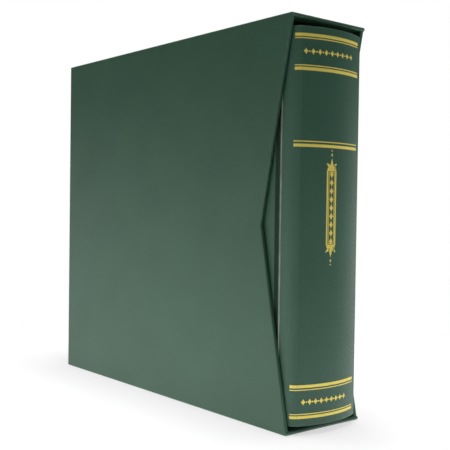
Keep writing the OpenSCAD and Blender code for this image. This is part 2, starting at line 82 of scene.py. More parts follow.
def add_node(
    tree: bpy.types.NodeTree,
    kind: str,
    settings: dict | None = None,
    inputs: dict | None = None,
) -> bpy.types.Node:
    """Adds a shader node with its settings and its links.

    Args:
        tree: the node tree that gets the node.
        kind: the node's type, without its "ShaderNode" prefix.
        settings: attributes of the node and their values.
        inputs: a value or a linked output for each input, by name or by index.

    Returns:
        The new node.
    """
    node = tree.nodes.new("ShaderNode" + kind)
    for name, value in (settings or {}).items():
        setattr(node, name, value)
    for name, value in (inputs or {}).items():
        if isinstance(value, bpy.types.NodeSocket):
            tree.links.new(value, node.inputs[name])
        else:
            node.inputs[name].default_value = value
    return node


class Grain(Enum):
    """What the embossing roller left on a covering."""

    FINE = "fine rolled grain"
    PEBBLED = "pebbled grain"


# The part of the relief that comes from the roller's cells. The rest is a finer hair.
CELL_SHARE = {Grain.FINE: 0.35, Grain.PEBBLED: 0.75}


@dataclass(frozen=True)
class Finish:
    """A surface that is built as one node material."""

    name: str

    def start(self) -> tuple[bpy.types.NodeTree, bpy.types.Node]:
        """Makes an empty material.

        Returns:
            The node tree and its output node.
        """
        material = bpy.data.materials.new(self.name)
        material.use_nodes = True
        material.node_tree.nodes.clear()
        return material.node_tree, add_node(material.node_tree, "OutputMaterial")

    def build(self) -> bpy.types.Material:
        """Builds the material once and then hands out the same one."""
        found = bpy.data.materials.get(self.name)
        if found is None:
            self.paint(*self.start())
            found = bpy.data.materials[self.name]
        return found

    def paint(self, tree: bpy.types.NodeTree, output: bpy.types.Node) -> None:
        """Fills the node tree, in each finish in its own way."""
        raise NotImplementedError


@dataclass(frozen=True)
class Leatherette(Finish):
    """Vinyl-coated book cloth: embossed by a roller, then glazed to a soft satin.

    The coating is a plastic, so its IOR is 1.5. The embossed grain breaks the gloss up. The
    handled edges are painted lighter, partly as wear and partly as a painted highlight, and
    the bending groove is painted darker as painted shade.
    """

    colour: str = "#375949"
    # Colour of the handled edges: partly wear, partly a painted highlight.
    worn_and_lit: str = "#5c7a6c"
    # Colour of the bending groove: painted shade.
    crease_shade: str = "#1c3429"
    grain: Grain = Grain.FINE
    grain_mm: float = 0.9
    grain_depth_mm: float = 0.02
    roughness: float = 0.33
    wander: float = 0.0012
    patch_mm: float = 45.0
    edge_break_mm: float = 6.0
    edge_band_mm: tuple[float, float] = (0.1, 1.4)
    corners_mm: tuple[Vector, Vector] | None = None
    ends_only: bool = False
    crease_mm: tuple[float, float] | None = None
    crease_soft_mm: float = 0.3
    crease_roughness: float = 0.95

    def worn_and_lit_edges(
        self, tree: bpy.types.NodeTree, coords: bpy.types.NodeSocket
    ) -> bpy.types.NodeSocket:
        """Finds how close a point lies to an edge of the covered box, where wear and a painted
        highlight lighten the colour.

        Args:
            tree: the material's node tree.
            coords: object coordinates, in metres.

        Returns:
            A mask that falls from 1 to 0 between the two distances of edge_band_mm from an
            edge. With ends_only, only the edges at head and foot count.
        """
        low, high = self.corners_mm
        middle = (low + high) * 0.5 * MM
        half = (high - low) * 0.5 * MM
        offset = add_node(tree, "VectorMath", {"operation": "SUBTRACT"}, {0: coords, 1: middle})
        size = add_node(tree, "VectorMath", {"operation": "ABSOLUTE"}, {0: offset.outputs[0]})
        split = add_node(tree, "SeparateXYZ", None, {0: size.outputs[0]})
        near = [
            add_node(
                tree,
                "MapRange",
                SMOOTHLY,
                {
                    "Value": split.outputs[i],
                    "From Min": half[i] - self.edge_band_mm[1] * MM,
                    "From Max": half[i] - self.edge_band_mm[0] * MM,
                },
            ).outputs[0]
            for i in range(3)
        ]
        if self.ends_only:
            return near[2]
        pairs = [
            add_node(tree, "Math", {"operation": "MINIMUM"}, {0: near[a], 1: near[b]})
            for a, b in ((0, 1), (1, 2), (0, 2))
        ]
        two = add_node(
            tree, "Math", {"operation": "MAXIMUM"}, {0: pairs[0].outputs[0], 1: pairs[1].outputs[0]}
        )
        return add_node(
            tree, "Math", {"operation": "MAXIMUM"}, {0: two.outputs[0], 1: pairs[2].outputs[0]}
        ).outputs[0]

    def find_crease(
        self, tree: bpy.types.NodeTree, coords: bpy.types.NodeSocket
    ) -> bpy.types.NodeSocket:
        """Finds the groove that the cover bends at, where shade is painted into the colour.

        Args:
            tree: the material's node tree.
            coords: object coordinates, in metres.

        Returns:
            A mask that is 1 in the groove and 0 outside it.
        """
        start, end = self.crease_mm
        depth = add_node(tree, "SeparateXYZ", None, {0: coords}).outputs[1]
        off = add_node(
            tree, "Math", {"operation": "SUBTRACT"}, {0: depth, 1: (start + end) / 2 * MM}
        )
        size = add_node(tree, "Math", {"operation": "ABSOLUTE"}, {0: off.outputs[0]})
        half = (end - start) / 2
        return add_node(
            tree,
            "MapRange",
            SMOOTHLY,
            {
                "Value": size.outputs[0],
                "From Min": (half - self.crease_soft_mm) * MM,
                "From Max": (half + self.crease_soft_mm) * MM,
                "To Min": 1.0,
                "To Max": 0.0,
            },
        ).outputs[0]

    def paint(self, tree: bpy.types.NodeTree, output: bpy.types.Node) -> None:
        """Lays grain, mottling and worn edges over the dyed coating."""
        coords = add_node(tree, "TexCoord").outputs["Object"]
        wander = add_node(
            tree,
            "TexNoise",
            None,
            {"Vector": coords, "Scale": 1000 / (3 * self.grain_mm), "Detail": 2.0},
        )
        shifted = add_node(
            tree,
            "Mix",
            {"data_type": "VECTOR"},
            {"Factor": self.wander, 4: coords, 5: wander.outputs["Color"]},
        )
        cells = add_node(
            tree,
            "TexVoronoi",
            {"feature": "DISTANCE_TO_EDGE"},
            {"Vector": shifted.outputs[1], "Scale": 1000 / self.grain_mm},
        )
        pebble = add_node(
            tree,
            "MapRange",
            SMOOTHLY,
            {"Value": cells.outputs["Distance"], "From Min": 0.0, "From Max": 0.32},
        )
        hair = add_node(
            tree,
            "TexNoise",
            None,
            {
                "Vector": coords,
                "Scale": 1000 / (0.5 * self.grain_mm),
                "Detail": 4.0,
                "Roughness": 0.6,
            },
        )
        height = add_node(
            tree,
            "Mix",
            None,
            {"Factor": CELL_SHARE[self.grain], "A": hair.outputs["Fac"], "B": pebble.outputs[0]},
        )
        bump = add_node(
            tree,
            "Bump",
            None,
            {"Strength": 1.0, "Distance": self.grain_depth_mm * MM, "Height": height.outputs[0]},
        )
        # Rolling and gluing leave broad soft patches of slightly fuller and thinner dye.
        patches = add_node(
            tree, "TexNoise", None, {"Vector": coords, "Scale": 1000 / self.patch_mm, "Detail": 3.0}
        )
        dye = add_node(
            tree,
            "MapRange",
            None,
            {
                "Value": patches.outputs["Fac"],
                "From Min": 0.3,
                "From Max": 0.7,
                "To Min": 0.93,
                "To Max": 1.07,
            },
        )
        valley = add_node(
            tree, "MapRange", None, {"Value": height.outputs[0], "To Min": 0.9, "To Max": 1.04}
        )
        tone = add_node(tree, "Math", MULTIPLY, {0: dye.outputs[0], 1: valley.outputs[0]})
        dyed = add_node(
            tree,
            "VectorMath",
            {"operation": "SCALE"},
            {0: linear(self.colour)[:3], "Scale": tone.outputs[0]},
        )
        colour = dyed.outputs[0]
        # The bending groove is painted darker: painted shade.
        if self.crease_mm:
            crease = self.find_crease(tree, coords)
            colour = add_node(
                tree, "Mix", COLOURS, {"Factor": crease, 6: colour, 7: linear(self.crease_shade)}
            ).outputs[2]
        # The edges are painted lighter: partly wear, partly a painted highlight where the rounded
        # edge catches the light.
        if self.corners_mm:
            edge_break = add_node(
                tree,
                "TexNoise",
                None,
                {"Vector": coords, "Scale": 1000 / self.edge_break_mm, "Detail": 5.0},
            )
            broken = add_node(
                tree,
                "MapRange",
                None,
                {"Value": edge_break.outputs["Fac"], "From Min": 0.35, "From Max": 0.7, "To Max": 0.6},
            )
            worn_and_lit = add_node(
                tree, "Math", MULTIPLY, {0: self.worn_and_lit_edges(tree, coords), 1: broken.outputs[0]}
            )
            colour = add_node(
                tree, "Mix", COLOURS, {"Factor": worn_and_lit.outputs[0], 6: colour, 7: linear(self.worn_and_lit)}
            ).outputs[2]
        gloss = add_node(
            tree,
            "MapRange",
            None,
            {
                "Value": height.outputs[0],
                "To Min": self.roughness + 0.08,
                "To Max": self.roughness - 0.04,
            },
        )
        # The groove is also made rougher, which dims its gloss.
        if self.crease_mm:
            gloss = add_node(
                tree,
                "Mix",
                None,
                {"Factor": crease, "A": gloss.outputs[0], "B": self.crease_roughness},
            )
        skin = add_node(
            tree,
            "BsdfPrincipled",
            None,
            {
                "Base Color": colour,
                "Roughness": gloss.outputs[0],
                "IOR": VINYL_IOR,
                "Normal": bump.outputs[0],
            },
        )
        tree.links.new(skin.outputs[0], output.inputs[0])


@dataclass(frozen=True)
class GoldFoil(Finish):
    """Hot-stamped metallised foil: pressed through the grain by a heated die.

    It is a thin metal film under a yellow lacquer, which scatters most of the light. The
    leatherette's grain breaks it up, with small gaps where the die did not bite.
    """

    foil: str = "#f3e06e"
    ground: str = "#3a4a35"
    grain_mm: float = 1.2
    grain_depth_mm: float = 0.03
    speck_mm: float = 0.8
    metallic: float = 0.3

    def paint(self, tree: bpy.types.NodeTree, output: bpy.types.Node) -> None:
        """Breaks a metal film up by grain and by missing specks."""
        coords = add_node(tree, "TexCoord").outputs["Object"]
        grain = add_node(
            tree, "TexNoise", None, {"Vector": coords, "Scale": 1000 / self.grain_mm, "Detail": 4.0}
        )
        specks = add_node(
            tree,
            "TexNoise",
            None,
            {"Vector": coords, "Scale": 1000 / self.speck_mm, "Detail": 3.0, "Roughness": 0.7},
        )
        bare = add_node(
            tree,
            "MapRange",
            SMOOTHLY,
            {"Value": specks.outputs["Fac"], "From Min": 0.66, "From Max": 0.74, "To Max": 0.8},
        )
        colour = add_node(
            tree,
            "Mix",
            COLOURS,
            {"Factor": bare.outputs[0], 6: linear(self.foil), 7: linear(self.ground)},
        )
        metal = add_node(
            tree,
            "MapRange",
            None,
            {"Value": bare.outputs[0], "To Min": self.metallic, "To Max": 0.0},
        )
        gloss = add_node(
            tree, "MapRange", None, {"Value": grain.outputs["Fac"], "To Min": 0.4, "To Max": 0.65}
        )
        bump = add_node(
            tree,
            "Bump",
            None,
            {"Strength": 1.0, "Distance": self.grain_depth_mm * MM, "Height": grain.outputs["Fac"]},
        )
        film = add_node(
            tree,
            "BsdfPrincipled",
            None,
            {
                "Base Color": colour.outputs[2],
                "Metallic": metal.outputs[0],
                "Roughness": gloss.outputs[0],
                "Normal": bump.outputs[0],
            },
        )
        tree.links.new(film.outputs[0], output.inputs[0])


@dataclass(frozen=True)
class PlatedSteel(Finish):
    """Cold rolled steel with a nickel plating, drawn through rollers along its length.

    The rolling leaves faint lines along Z, the plating a warm grey with a dull lustre,
    and handling a few clouded patches.
    """

    colour: str = "#c9c7c0"
    roughness: float = 0.3
    line_mm: float = 0.4
    line_depth_mm: float = 0.01
    stretch: float = 0.02
    cloud_mm: float = 9.0
    clouded: float = 0.86

    def paint(self, tree: bpy.types.NodeTree, output: bpy.types.Node) -> None:
        """Draws rolling lines and clouded patches over bright metal."""
        coords = add_node(tree, "TexCoord").outputs["Object"]
        drawn = add_node(tree, "VectorMath", MULTIPLY, {0: coords, 1: (1.0, 1.0, self.stretch)})
        lines = add_node(
            tree,
            "TexNoise",
            None,
            {"Vector": drawn.outputs[0], "Scale": 1000 / self.line_mm, "Detail": 3.0},
        )
        clouds = add_node(
            tree, "TexNoise", None, {"Vector": coords, "Scale": 1000 / self.cloud_mm, "Detail": 5.0}
        )
        both = add_node(
            tree, "Math", {"operation": "ADD"}, {0: lines.outputs["Fac"], 1: clouds.outputs["Fac"]}
        )
        gloss = add_node(
            tree,
            "MapRange",
            None,
            {
                "Value": both.outputs[0],
                "From Min": 0.6,
                "From Max": 1.4,
                "To Min": self.roughness - 0.08,
                "To Max": self.roughness + 0.14,
            },
        )
        dull = add_node(
            tree,
            "MapRange",
            None,
            {
                "Value": clouds.outputs["Fac"],
                "From Min": 0.35,
                "From Max": 0.65,
                "To Min": self.clouded,
                "To Max": 1.0,
            },
        )
        colour = add_node(
            tree,
            "VectorMath",
            {"operation": "SCALE"},
            {0: linear(self.colour)[:3], "Scale": dull.outputs[0]},
        )
        bump = add_node(
            tree,
            "Bump",
            None,
            {"Strength": 0.6, "Distance": self.line_depth_mm * MM, "Height": lines.outputs["Fac"]},
        )
        metal = add_node(
            tree,
            "BsdfPrincipled",
            None,
            {
                "Base Color": colour.outputs[0],
                "Metallic": 1.0,
                "Roughness": gloss.outputs[0],
                "Normal": bump.outputs[0],
            },
        )
        tree.links.new(metal.outputs[0], output.inputs[0])


@dataclass(frozen=True)
class Fibreboard(Finish):
    """Greyboard or uncoated paper: matt pulp with flecks of longer fibre."""

    colour: str = "#9d9484"
    fleck: str = "#6d6457"
    fleck_mm: float = 1.5
    fleck_share: float = 0.5
    fibre_depth_mm: float = 0.03
    roughness: float = 0.88

    def paint(self, tree: bpy.types.NodeTree, output: bpy.types.Node) -> None:
        """Scatters flecks over matt pulp."""
        coords = add_node(tree, "TexCoord").outputs["Object"]
        pulp = add_node(
            tree, "TexNoise", None, {"Vector": coords, "Scale": 1000 / self.fleck_mm, "Detail": 6.0}
        )
        mask = add_node(
            tree,
            "MapRange",
            None,
            {
                "Value": pulp.outputs["Fac"],
                "From Min": 0.42,
                "From Max": 0.75,
                "To Max": self.fleck_share,
            },
        )
        colour = add_node(
            tree,
            "Mix",
            COLOURS,
            {"Factor": mask.outputs[0], 6: linear(self.colour), 7: linear(self.fleck)},
        )
        bump = add_node(
            tree,
            "Bump",
            None,
            {"Strength": 1.0, "Distance": self.fibre_depth_mm * MM, "Height": pulp.outputs["Fac"]},
        )
        board = add_node(
            tree,
            "BsdfPrincipled",
            None,
            {
                "Base Color": colour.outputs[2],
                "Roughness": self.roughness,
                "IOR": PAPER_IOR,
                "Normal": bump.outputs[0],
            },
        )
        tree.links.new(board.outputs[0], output.inputs[0])


@dataclass(frozen=True)
class LeafStack(Finish):
    """Heavy uncoated album leaves, lying together in a packet.

    Edge on, each leaf shows as a fine line across the thickness. The outer faces carry a
    pale quadrille, printed inside a margin that is wider along the punched edge.
    """

    colour: str = "#e9e2cd"
    gap: str = "#b3a888"
    ruling: str = "#b9bfae"
    leaf_mm: float = 0.24
    drawn_every: int = 3
    slip_mm: float = 0.3
    ragged_mm: float = 12.0
    square_mm: float = 5.0
    line_mm: float = 0.24
    margin_mm: float = 20.0
    strip_mm: float = 18.0
    fibre_mm: float = 0.6
    fibre_depth_mm: float = 0.02
    roughness: float = 0.8
    corners_mm: tuple[Vector, Vector] | None = None

    def paint(self, tree: bpy.types.NodeTree, output: bpy.types.Node) -> None:
        """Draws the leaves' edges and the printed squares."""
        coords = add_node(tree, "TexCoord").outputs["Object"]
        where = add_node(tree, "SeparateXYZ", None, {0: coords})
        facing = add_node(
            tree, "SeparateXYZ", None, {0: add_node(tree, "NewGeometry").outputs["Normal"]}
        )
        flat = add_node(tree, "Math", {"operation": "ABSOLUTE"}, {0: facing.outputs[0]})
        on_face = add_node(
            tree, "Math", {"operation": "GREATER_THAN"}, {0: flat.outputs[0], 1: 0.7}
        )
        ragged = add_node(
            tree, "TexNoise", None, {"Vector": coords, "Scale": 1000 / self.ragged_mm, "Detail": 4.0}
        )
        slip = add_node(
            tree,
            "Math",
            {"operation": "MULTIPLY_ADD"},
            {0: ragged.outputs["Fac"], 1: self.slip_mm * MM, 2: where.outputs[0]},
        )
        # One leaf is far finer than a pixel, so only some of the gaps are drawn.
        pitch = self.drawn_every * self.leaf_mm * MM
        saw = add_node(tree, "Math", {"operation": "PINGPONG"}, {0: slip.outputs[0], 1: pitch / 2})
        edge = add_node(
            tree,
            "MapRange",
            None,
            {
                "Value": saw.outputs[0],
                "From Min": 0.0,
                "From Max": pitch * 0.2,
                "To Min": 0.75,
                "To Max": 0.0,
            },
        )
        beside = add_node(tree, "Math", {"operation": "SUBTRACT"}, {0: 1.0, 1: on_face.outputs[0]})
        gaps = add_node(tree, "Math", MULTIPLY, {0: edge.outputs[0], 1: beside.outputs[0]})
        low, high = self.corners_mm
        lines = []
        for axis, inset in ((1, self.strip_mm + self.margin_mm), (2, self.margin_mm)):
            cross = add_node(
                tree,
                "Math",
                {"operation": "PINGPONG"},
                {0: where.outputs[axis], 1: self.square_mm / 2 * MM},
            )
            lines.append(
                add_node(
                    tree,
                    "Math",
                    {"operation": "LESS_THAN"},
                    {0: cross.outputs[0], 1: self.line_mm / 2 * MM},
                ).outputs[0]
            )
            start, end = (low[axis] + inset) * MM, (high[axis] - self.margin_mm) * MM
            inside = add_node(
                tree,
                "Math",
                {"operation": "COMPARE"},
                {0: where.outputs[axis], 1: (start + end) / 2, 2: (end - start) / 2},
            )
            lines.append(inside.outputs[0])
        ruled = add_node(tree, "Math", {"operation": "MAXIMUM"}, {0: lines[0], 1: lines[2]})
        within = add_node(tree, "Math", MULTIPLY, {0: lines[1], 1: lines[3]})
        printed = add_node(tree, "Math", MULTIPLY, {0: ruled.outputs[0], 1: within.outputs[0]})
        on_page = add_node(tree, "Math", MULTIPLY, {0: printed.outputs[0], 1: on_face.outputs[0]})
        paper = add_node(
            tree,
            "Mix",
            COLOURS,
            {"Factor": gaps.outputs[0], 6: linear(self.colour), 7: linear(self.gap)},
        )
        page = add_node(
            tree,
            "Mix",
            COLOURS,
            {"Factor": on_page.outputs[0], 6: paper.outputs[2], 7: linear(self.ruling)},
        )
        fibres = add_node(
            tree, "TexNoise", None, {"Vector": coords, "Scale": 1000 / self.fibre_mm, "Detail": 5.0}
        )
        bump = add_node(
            tree,
            "Bump",
            None,
            {
                "Strength": 0.5,
                "Distance": self.fibre_depth_mm * MM,
                "Height": fibres.outputs["Fac"],
            },
        )
        skin = add_node(
            tree,
            "BsdfPrincipled",
            None,
            {
                "Base Color": page.outputs[2],
                "Roughness": self.roughness,
                "IOR": PAPER_IOR,
                "Normal": bump.outputs[0],
            },
        )
        tree.links.new(skin.outputs[0], output.inputs[0])


@dataclass(frozen=True)
class Glassine(Finish):
    """Glassine interleaf: paper rolled until it is smooth and shiny."""

    colour: str = "#eef0ea"
    cloud_mm: float = 3.0

    def paint(self, tree: bpy.types.NodeTree, output: bpy.types.Node) -> None:
        """Gives a smooth pale sheet a clouded gloss."""
        coords = add_node(tree, "TexCoord").outputs["Object"]
        clouds = add_node(
            tree, "TexNoise", None, {"Vector": coords, "Scale": 1000 / self.cloud_mm, "Detail": 6.0}
        )
        gloss = add_node(
            tree, "MapRange", None, {"Value": clouds.outputs["Fac"], "To Min": 0.22, "To Max": 0.4}
        )
        sheet = add_node(
            tree,
            "BsdfPrincipled",
            None,
            {"Base Color": linear(self.colour), "Roughness": gloss.outputs[0], "IOR": GLASSINE_IOR},
        )
        tree.links.new(sheet.outputs[0], output.inputs[0])


# Finishes that more than one sub-assembly shares.
GREYBOARD = Fibreboard("raw greyboard")
SPINE_STEEL = PlatedSteel("cold rolled spine steel", colour="#b4b3ae", roughness=0.4)
HINGE_STEEL = PlatedSteel(
    "nickel plated hinge steel", colour="#b9c1b4", roughness=0.42, clouded=0.6
)
# The album's covering has a coarser relief than the slipcase's.
PEBBLED = {"grain": Grain.PEBBLED, "grain_mm": 2.0, "grain_depth_mm": 0.12, "roughness": 0.34}


def corners(*nodes: str) -> tuple[Vector, Vector]:
    """Measures the box round some CAD nodes.

    Args:
        nodes: names of CAD nodes.

    Returns:
        The lowest and the highest corner, in millimetres.
    """
    boxes = [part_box(n) for n in nodes]
    low = Vector(min(b[0][i] for b in boxes) for i in range(3)) / MM
    high = Vector(max(b[1][i] for b in boxes) for i in range(3)) / MM
    return low, high


def smooth(data: bpy.types.Mesh) -> None:
    """Smooths a mesh's round faces and keeps its sharp edges."""
    for face in data.polygons:
        face.use_smooth = True
    data.set_sharp_from_angle(angle=math.radians(SHARP_DEG))


def add_object(name: str, data: bpy.types.ID) -> bpy.types.Object:
    """Puts a mesh, a lamp or a camera into the scene as an object."""
    piece = bpy.data.objects.new(name, data)
    bpy.context.scene.collection.objects.link(piece)
    return piece


def dress(node: str, finish: Finish) -> None:
    """Gives a CAD node its finish and smooths its round faces.

    Args:
        node: name of the CAD node.
        finish: the finish that it takes.
    """
    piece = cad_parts[node]
    material = finish.build()
    if piece.material_slots:
        for slot in piece.material_slots:
            slot.material = material
    else:
        piece.data.materials.append(material)
    smooth(piece.data)
    log.info("%s in %s", node, finish.name)


@dataclass
class SlipCase:
    """The open case: five covered boards and their lining."""

    panels: list[str] = field(init=False)
    boards: list[str] = field(init=False)
    cover: Leatherette = field(init=False)
    lining: Fibreboard = Fibreboard(
        "dark green lining paper", colour="#23342d", fleck="#1a2822", fleck_mm=0.9
    )

    def __post_init__(self) -> None:
        """Names the panels and sizes the lighter edges by them: wear and a painted highlight."""
        sides = ("left", "right", "top", "bottom", "back")
        self.panels = [f"case_{s}_leatherette" for s in sides]
        self.boards = [f"case_{s}_board" for s in sides]
        self.cover = Leatherette(
            "slipcase leatherette, fine rolled grain",
            colour="#365745",
            grain_depth_mm=0.015,
            corners_mm=corners(*self.panels),
        )

    def build(self) -> None:
        """Dresses the case."""
        for node in self.panels:
            dress(node, self.cover)
        for node in self.boards:
            dress(node, GREYBOARD)
        dress("case_lining", self.lining)


@dataclass
class Spine:
    """The round spine: leatherette over bent steel, with the hinges' outer leaves.

    It ends a little short of the covers at head and foot. The CAD nodes stand taller, so
    shorter copies replace them: a point within end_wall_mm of an end moves in.
    """

    shorter_mm: float = 2.2
    end_wall_mm: float = 1.0

    def shorten(self, node: str, finish: Finish) -> None:
        """Replaces a full-height node by a copy that ends short at head and foot.

        Args:
            node: name of the CAD node.
            finish: the finish that the copy takes.
        """
        low, high = corners(node)
        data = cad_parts[node].data.copy()
        for vert in data.vertices:
            if vert.co.z > (high.z - self.end_wall_mm) * MM:
                vert.co.z -= self.shorter_mm * MM
            elif vert.co.z < (low.z + self.end_wall_mm) * MM:
                vert.co.z += self.shorter_mm * MM
        for face in data.polygons:
            face.material_index = 0
        smooth(data)
        data.materials.clear()
        data.materials.append(finish.build())
        piece = add_object(f"short_{node}", data)
        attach(piece, "album")
        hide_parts(node)
        log.info("short_%s in %s", node, finish.name)

    def build(self) -> None:
        """Builds the spine's pieces."""
        low, high = corners("spine_leatherette")
        inset = Vector((0, 0, self.shorter_mm))
        # Head and foot of the spine are painted lighter: wear and a painted highlight.
        skin = Leatherette(
            "album leatherette, pebbled grain",
            corners_mm=(low + inset, high - inset),
            ends_only=True,
            **PEBBLED,
        )
        self.shorten("spine_leatherette", skin)
        self.shorten("spine_shell", SPINE_STEEL)
        for side in ("front", "back"):
            self.shorten(f"{side}_spine_hinge_leaf", HINGE_STEEL)


@dataclass
class SpineGilding:
    """Gold foil on the round spine: fillets, ornament and small rows of lozenges.

    Places are heights above the foot of the case and distances from the spine's middle,
    positive towards the front cover. Everything lies a little towards the back cover.
    """

    film_mm: float = 0.03
    probe_mm: float = -300.0
    fillet_ends: tuple[float, float] = (-34.9, 26.5)
    # Each row's name, its height, and where its first and last lozenge lie.
    rows: tuple[tuple[str, float, float, float], ...] = (
        ("head_row", 282.3, -28.5, 15.5), ("foot_row", 24.4, -26.5, 13.5)
    )
    row_count: int = 9
    row_lozenge_mm: tuple[float, float] = (3.6, 4.6)
    row_dot_mm: float = 1.2
    panel_x_mm: float = -5.0
    panel_ends_mm: tuple[float, float] = (140.0, 196.0)
    panel_half_mm: float = 4.1
    # The panel's two frame lines: how far inside its ends each lies, and its width.
    frame_lines: tuple[tuple[float, float], ...] = ((0.0, 1.3), (1.45, 0.55))
    chain_count: int = 9
    chain_inset_mm: float = 3.0
    chain_mm: float = 3.9
    # A petal's turn from upright, in degrees, and its length.
    petals: tuple[tuple[float, float], ...] = (
        (0, 7.5), (-52, 6.6), (52, 6.6), (-88, 4.6), (88, 4.6)
    )
    petal_mm: float = 2.3
    petal_gap_mm: float = 1.2
    # How far beyond the petals' foot the closing lozenge and dot lie, and their sizes.
    tip_lozenge: tuple[float, float, float] = (10.2, 1.8, 3.2)
    tip_dot: tuple[float, float] = (13.2, 1.1)
    foil: GoldFoil = GoldFoil("gold foil, hot stamped")
    surface: BVHTree = field(init=False)
    # Height and width of each fillet.
    fillets: tuple[tuple[float, float], ...] = (
        (294.15, 2.3),
        (291.75, 0.8),
        (272.0, 0.8),
        (269.5, 2.4),
        (216.6, 0.8),
        (213.6, 2.2),
        (36.05, 2.2),
        (33.45, 0.7),
        (15.5, 0.7),
        (13.2, 2.1),
    )

    def __post_init__(self) -> None:
        """Makes a search tree of the spine's surface."""
        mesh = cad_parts["spine_leatherette"].data
        points = [v.co.copy() for v in mesh.vertices]
        self.surface = BVHTree.FromPolygons(points, [tuple(p.vertices) for p in mesh.polygons])

    def on_spine(self, x: float, z: float, lift: float) -> Vector:
        """Finds the point of the spine's face at a place, seen from the front.

        Args:
            x: distance from the middle of the spine.
            z: height.
            lift: how far the point stands off the leatherette.

        Returns:
            The point in metres.
        """
        start = Vector((x * MM, self.probe_mm * MM, z * MM))
        hit, normal, _, _ = self.surface.ray_cast(start, Vector((0, 1, 0)))
        if normal.y > 0:
            normal = -normal
        return hit + normal * lift * MM

    def across(self, start: float, end: float, z: float) -> list[tuple[float, float]]:
        """Divides a line across the spine into steps of even length on its face.

        Args:
            start: distance of the line's first end.
            end: distance of its last end.
            z: height of the line.

        Returns:
            Points of the line, as distance and height.
        """
        tries, steps = 600, 72
        places = [start + (end - start) * i / tries for i in range(tries + 1)]
        face = [self.on_spine(x, z, 0) / MM for x in places]
        runs = [0.0]
        for a, b in zip(face, face[1:]):
            runs.append(runs[-1] + (b - a).length)
        path, at = [], 0
        for i in range(steps + 1):
            while at < tries and runs[at] < runs[-1] * i / steps:
                at += 1
            path.append((places[at], z))
        return path

    def ribbon(
        self, mesh: bmesh.types.BMesh, path: list[tuple[float, float]], width: float
    ) -> None:
        """Adds a strip of foil along a path.

        Args:
            mesh: the mesh that gets the strip.
            path: points of its middle line, as distance and height.
            width: width of the strip.
        """
        closed = path[0] == path[-1]
        count = len(path)
        rows = []
        for i, (x, z) in enumerate(path):
            back = path[i - 1] if i else (path[-2] if closed else path[0])
            ahead = path[i + 1] if i < count - 1 else (path[1] if closed else path[-1])
            run = Vector((ahead[0] - back[0], ahead[1] - back[1])).normalized()
            side = Vector((-run.y, run.x)) * width / 2
            rows.append(
                [
                    mesh.verts.new(self.on_spine(x + s * side.x, z + s * side.y, lift))
                    for s, lift in (
                        (-1, -self.film_mm),
                        (-1, self.film_mm),
                        (1, self.film_mm),
                        (1, -self.film_mm),
                    )
                ]
            )
        if closed:
            for vert in rows.pop():
                mesh.verts.remove(vert)
            rows.append(rows[0])
        for a, b in zip(rows, rows[1:]):
            for i in range(4):
                mesh.faces.new((a[i], b[i], b[(i + 1) % 4], a[(i + 1) % 4]))
        if not closed:
            mesh.faces.new(rows[0])
            mesh.faces.new(rows[-1][::-1])

    def patch(self, mesh: bmesh.types.BMesh, outline: list[tuple[float, float]]) -> None:
        """Adds a small filled shape of foil.

        Args:
            mesh: the mesh that gets the shape.
            outline: its corners in order, as distance and height.
        """
        top = [mesh.verts.new(self.on_spine(x, z, self.film_mm)) for x, z in outline]
        low = [mesh.verts.new(self.on_spine(x, z, -self.film_mm)) for x, z in outline]
        mesh.faces.new(top)
        mesh.faces.new(low[::-1])
        for i in range(len(outline)):
            j = (i + 1) % len(outline)
            mesh.faces.new((top[i], low[i], low[j], top[j]))

    def lozenge(self, mesh: bmesh.types.BMesh, x: float, z: float, w: float, h: float) -> None:
        """Adds a lozenge with slightly hollow sides.

        Args:
            mesh: the mesh that gets the lozenge.
            x: distance of its centre.
            z: height of its centre.
            w: its whole width.
            h: its whole height.
        """
        hollow = 0.42
        points = []
        for i, (a, b) in enumerate(((1, 0), (0, 1), (-1, 0), (0, -1))):
            points.append((x + a * w / 2, z + b * h / 2))
            c, d = ((1, 1), (-1, 1), (-1, -1), (1, -1))[i]
            points.append((x + c * hollow * w / 2, z + d * hollow * h / 2))
        self.patch(mesh, points)

    def dot(self, mesh: bmesh.types.BMesh, x: float, z: float, d: float) -> None:
        """Adds a round dot of a given diameter."""
        turns = [math.tau * i / 12 for i in range(12)]
        self.patch(mesh, [(x + d / 2 * math.cos(t), z + d / 2 * math.sin(t)) for t in turns])

    def petal(
        self,
        mesh: bmesh.types.BMesh,
        foot: tuple[float, float],
        length: float,
        width: float,
        turn: float,
    ) -> None:
        """Adds a pointed petal.

        Args:
            mesh: the mesh that gets the petal.
            foot: the point that it grows from.
            length: its length.
            width: its widest width.
            turn: its direction, in degrees from upright.
        """
        steps = 8
        right, left = [], []
        for i in range(steps + 1):
            t = i / steps
            half = width / 2 * math.sin(math.pi * t**0.8)
            right.append((half, length * t))
            left.append((-half, length * t))
        outline = right + left[-2:0:-1]
        c, s = math.cos(math.radians(turn)), math.sin(math.radians(turn))
        self.patch(mesh, [(foot[0] + x * c + z * s, foot[1] - x * s + z * c) for x, z in outline])

    def finish_piece(self, name: str, mesh: bmesh.types.BMesh) -> None:
        """Turns a mesh into a foil piece that rides on the album.

        Args:
            name: the piece's name.
            mesh: the finished mesh.
        """
        bmesh.ops.recalc_face_normals(mesh, faces=mesh.faces)
        data = bpy.data.meshes.new(name)
        mesh.to_mesh(data)
        mesh.free()
        piece = add_object(name, data)
        data.materials.append(self.foil.build())
        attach(piece, "album")
        log.info("%s in %s", name, self.foil.name)

    def build_fillets(self) -> None:
        """Stamps the straight fillets across the spine."""
        for number, (z, width) in enumerate(self.fillets, 1):
            mesh = bmesh.new()
            self.ribbon(mesh, self.across(*self.fillet_ends, z), width)
            self.finish_piece(f"fillet_{number:02d}", mesh)

